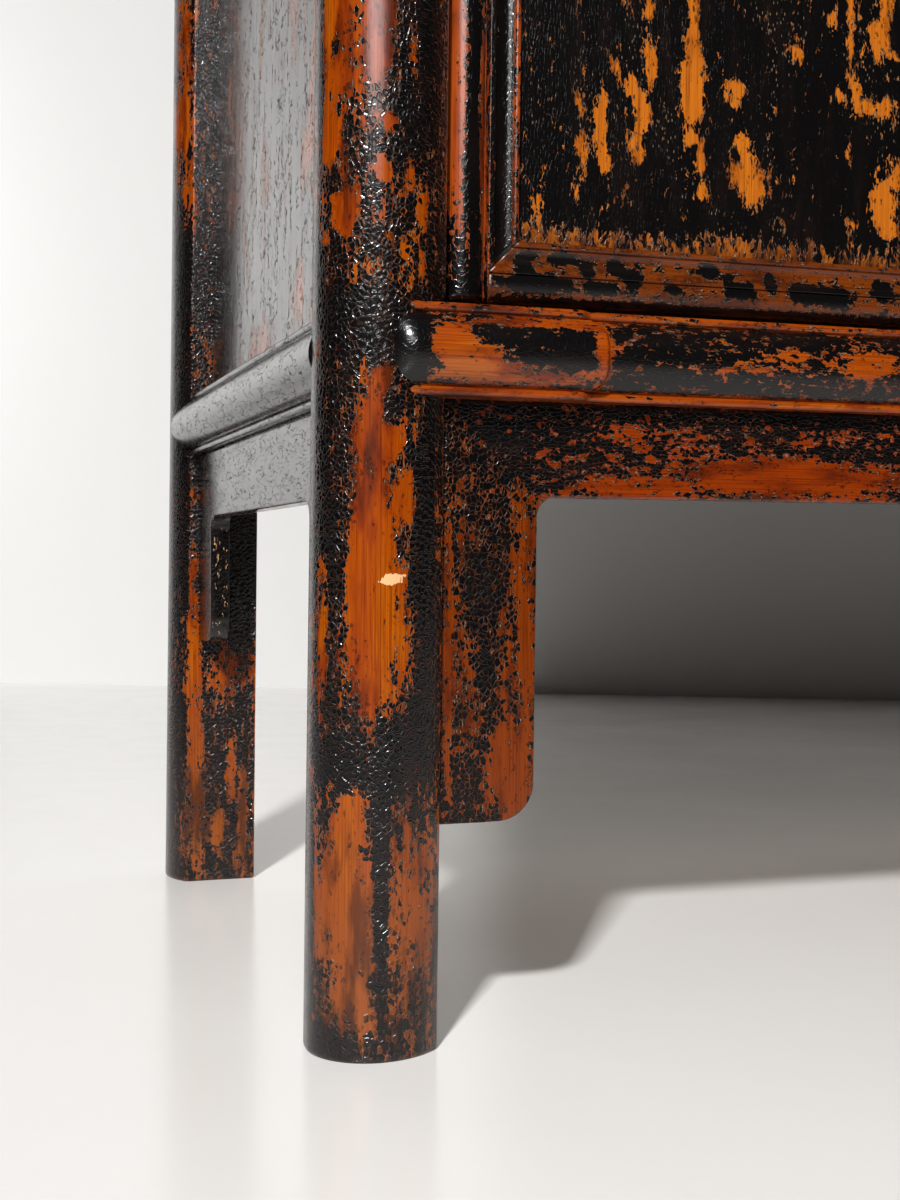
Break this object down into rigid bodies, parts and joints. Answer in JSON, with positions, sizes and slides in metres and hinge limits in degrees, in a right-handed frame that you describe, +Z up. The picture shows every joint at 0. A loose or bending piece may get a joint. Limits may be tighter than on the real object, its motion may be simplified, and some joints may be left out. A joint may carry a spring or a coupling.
{
  "type": "two-door wardrobe",
  "caption": "Tall wardrobe with round posts that lean inwards, a moulded cap, apron boards under the rails and framed doors that swing on wooden pivots.",
  "frame": {"origin": "on the floor, midway between the four feet", "axes": "+X to the viewer's right, +Y from the doors towards the back, +Z up"},
  "size_m": [1.093, 0.5606, 1.85],
  "materials": {
    "post_lacquer": "black lacquer, crazed and worn through to orange softwood, glossy",
    "rail_lacquer": "black lacquer worn to orange wood on its beads, glossy",
    "apron_lacquer": "black over red lacquer, flaked to orange wood along the grain",
    "side_lacquer": "crazed dark lacquer with a grey bloom",
    "door_frame_lacquer": "black lacquer rubbed through to red-orange wood",
    "door_panel_lacquer": "black lacquer flaked in patches to tan wood",
    "cap_lacquer": "black lacquer worn at its edges, glossy",
    "inner_wood": "bare softwood, waxed, brown with age",
    "back_wood": "thin dark stain on softwood boards, matt",
    "brass": "aged white-brass, worn satin"
  },
  "bodies": {
    "carcass": {"post_front_left": "post_lacquer", "post_front_right": "post_lacquer", "post_back_left": "post_lacquer", "post_back_right": "post_lacquer", "front_rail": "rail_lacquer", "back_rail": "inner_wood", "side_rail_left": "rail_lacquer", "side_rail_right": "rail_lacquer", "rail_pegs": "inner_wood", "front_apron": "apron_lacquer", "front_spandrel_left": "apron_lacquer", "front_spandrel_right": "apron_lacquer", "side_apron_left": "apron_lacquer", "side_apron_right": "apron_lacquer", "side_spandrel_front_left": "apron_lacquer", "side_spandrel_back_left": "apron_lacquer", "side_spandrel_front_right": "apron_lacquer", "side_spandrel_back_right": "apron_lacquer", "side_panel_left": "side_lacquer", "side_panel_right": "side_lacquer", "back_panel_low": "back_wood", "back_panel_middle": "back_wood", "back_panel_top": "back_wood", "back_stretcher_low": "back_wood", "back_stretcher_high": "back_wood", "floor_board": "inner_wood", "shelf_low_board": "inner_wood", "shelf_high_board": "inner_wood", "shelf_bearers_low": "inner_wood", "shelf_bearers_high": "inner_wood", "cap_front": "cap_lacquer", "cap_back": "cap_lacquer", "cap_side_left": "cap_lacquer", "cap_side_right": "cap_lacquer", "cap_panel": "cap_lacquer", "cap_battens": "inner_wood", "door_stop": "inner_wood"},
    "left_door": {"left_pivot_stile": "door_frame_lacquer", "left_meeting_stile": "door_frame_lacquer", "left_door_top_rail": "door_frame_lacquer", "left_door_bottom_rail": "door_frame_lacquer", "left_door_panel": "door_panel_lacquer", "left_door_battens": "inner_wood", "left_face_plate": "brass", "left_plate_nails": "brass", "left_pull_bracket": "brass"},
    "right_door": {"right_pivot_stile": "door_frame_lacquer", "right_meeting_stile": "door_frame_lacquer", "right_door_top_rail": "door_frame_lacquer", "right_door_bottom_rail": "door_frame_lacquer", "right_door_panel": "door_panel_lacquer", "right_door_battens": "inner_wood", "right_face_plate": "brass", "right_plate_nails": "brass", "right_pull_bracket": "brass"},
    "left_pull_drop": {"left_pull": "brass"},
    "right_pull_drop": {"right_pull": "brass"}
  },
  "joints": [
    {"name": "left_door_swing", "type": "hinge", "parent": "carcass", "child": "left_door", "pos_m": [-0.4685, -0.2296, 0], "axis": [-0.0091, 0, -1], "range_deg": [0, 95]},
    {"name": "right_door_swing", "type": "hinge", "parent": "carcass", "child": "right_door", "pos_m": [0.4685, -0.2296, 0], "axis": [-0.0091, 0, 1], "range_deg": [0, 95]},
    {"name": "left_pull_swing", "type": "hinge", "parent": "left_door", "child": "left_pull_drop", "pos_m": [-0.0185, -0.2491, 1.1], "axis": [-1, 0, 0], "range_deg": [0, 85]},
    {"name": "right_pull_swing", "type": "hinge", "parent": "right_door", "child": "right_pull_drop", "pos_m": [0.0185, -0.2491, 1.1], "axis": [-1, 0, 0], "range_deg": [0, 85]}
  ]
}
